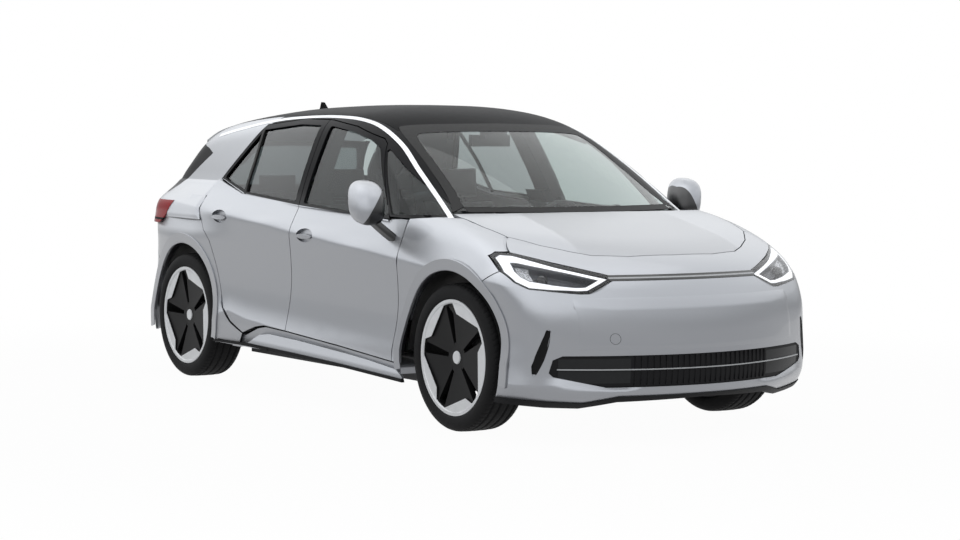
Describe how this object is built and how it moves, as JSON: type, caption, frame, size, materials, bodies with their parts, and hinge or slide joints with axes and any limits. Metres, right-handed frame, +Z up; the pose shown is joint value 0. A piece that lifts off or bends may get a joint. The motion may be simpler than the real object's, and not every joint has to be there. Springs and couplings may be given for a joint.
{
  "type": "hatchback car",
  "caption": "Electric five-door hatchback with opening doors, bonnet and tailgate, steering front wheels, a hollow cabin with seats, and a two-tone silver and black body.",
  "frame": {"origin": "on the ground, at the middle of the car's length and width", "axes": "+X forward, +Y to the car's left, +Z up"},
  "size_m": [4.262, 2.142, 1.5699],
  "materials": {
    "paint": "metallic",
    "black_gloss": "gloss",
    "black_trim": "matt",
    "clear_glass": "polished",
    "lamp_cover": "polished",
    "lamp_red": "gloss",
    "cabin_plastic": "satin",
    "seat_fabric": "woven",
    "structure": "satin",
    "cast": "cast",
    "tyre": "matt",
    "wheel": "painted"
  },
  "bodies": {
    "body": {"floor_pan": "structure", "side_frames": "paint", "roof_panel": "black_gloss", "front_fenders": "paint", "front_bumper": "paint", "lower_grille": "black_gloss", "headlamps": "lamp_cover", "windscreen": "clear_glass", "quarter_windows": "clear_glass", "wipers": "black_trim", "rear_bumper": "paint", "tail_lamps": "lamp_red", "sill_trims": "paint", "arch_liners": "black_trim", "battery_pack": "structure", "drive_unit": "structure", "front_axle": "cast", "rear_axle": "cast", "dashboard": "cabin_plastic", "front_seats": "seat_fabric", "rear_seat": "seat_fabric", "interior_mirror": "black_trim"},
    "bonnet": {"bonnet": "paint"},
    "tailgate": {"tailgate": "paint", "rear_window": "clear_glass"},
    "steering_wheel": {"steering_wheel": "cabin_plastic"},
    "front_door_left": {"front_door_left": "paint", "front_window_left": "clear_glass", "mirror_left": "black_gloss"},
    "rear_door_left": {"rear_door_left": "paint", "rear_window_pane_left": "clear_glass"},
    "knuckle_left": {"knuckle_left": "cast"},
    "front_wheel_left": {"tyre_front_left": "tyre", "rim_front_left": "wheel"},
    "rear_wheel_left": {"tyre_rear_left": "tyre", "rim_rear_left": "wheel"},
    "front_door_right": {"front_door_right": "paint", "front_window_right": "clear_glass", "mirror_right": "black_gloss"},
    "rear_door_right": {"rear_door_right": "paint", "rear_window_pane_right": "clear_glass"},
    "knuckle_right": {"knuckle_right": "cast"},
    "front_wheel_right": {"tyre_front_right": "tyre", "rim_front_right": "wheel"},
    "rear_wheel_right": {"tyre_rear_right": "tyre", "rim_rear_right": "wheel"}
  },
  "joints": [
    {"name": "front_door_left_hinge", "type": "hinge", "parent": "body", "child": "front_door_left", "pos_m": [0.88, 0.9, 0.65], "axis": [0, 0, -1], "range_deg": [0, 66]},
    {"name": "rear_door_left_hinge", "type": "hinge", "parent": "body", "child": "rear_door_left", "pos_m": [-0.183, 0.901, 0.65], "axis": [0, 0, -1], "range_deg": [0, 68]},
    {"name": "front_door_right_hinge", "type": "hinge", "parent": "body", "child": "front_door_right", "pos_m": [0.88, -0.9, 0.65], "axis": [0, 0, 1], "range_deg": [0, 66]},
    {"name": "rear_door_right_hinge", "type": "hinge", "parent": "body", "child": "rear_door_right", "pos_m": [-0.183, -0.901, 0.65], "axis": [0, 0, 1], "range_deg": [0, 68]},
    {"name": "bonnet_hinge", "type": "hinge", "parent": "body", "child": "bonnet", "pos_m": [1.1, 0, 1], "axis": [0, -1, 0], "range_deg": [0, 50]},
    {"name": "tailgate_hinge", "type": "hinge", "parent": "body", "child": "tailgate", "pos_m": [-1.463, 0, 1.486], "axis": [0, 1, 0], "range_deg": [0, 78]},
    {"name": "steer_left", "type": "hinge", "parent": "body", "child": "knuckle_left", "pos_m": [1.295, 0.698, 0.351], "axis": [0, 0, 1], "range_deg": [-32, 32]},
    {"name": "front_wheel_left_spin", "type": "hinge", "parent": "knuckle_left", "child": "front_wheel_left", "pos_m": [1.295, 0.768, 0.351], "axis": [0, 1, 0], "continuous": true},
    {"name": "rear_wheel_left_spin", "type": "hinge", "parent": "body", "child": "rear_wheel_left", "pos_m": [-1.475, 0.7565, 0.351], "axis": [0, 1, 0], "continuous": true},
    {"name": "steer_right", "type": "hinge", "parent": "body", "child": "knuckle_right", "pos_m": [1.295, -0.698, 0.351], "axis": [0, 0, 1], "range_deg": [-32, 32]},
    {"name": "front_wheel_right_spin", "type": "hinge", "parent": "knuckle_right", "child": "front_wheel_right", "pos_m": [1.295, -0.768, 0.351], "axis": [0, 1, 0], "continuous": true},
    {"name": "rear_wheel_right_spin", "type": "hinge", "parent": "body", "child": "rear_wheel_right", "pos_m": [-1.475, -0.7565, 0.351], "axis": [0, 1, 0], "continuous": true},
    {"name": "steering_wheel_turn", "type": "hinge", "parent": "body", "child": "steering_wheel", "pos_m": [0.395, 0.37, 0.872], "axis": [-0.9272, 0, 0.3746], "range_deg": [-500, 500]}
  ],
  "couplings": [
    {"joint": "steer_right", "follows": "steer_left", "ratio": 1},
    {"joint": "steering_wheel_turn", "follows": "steer_left", "ratio": 15.5}
  ]
}
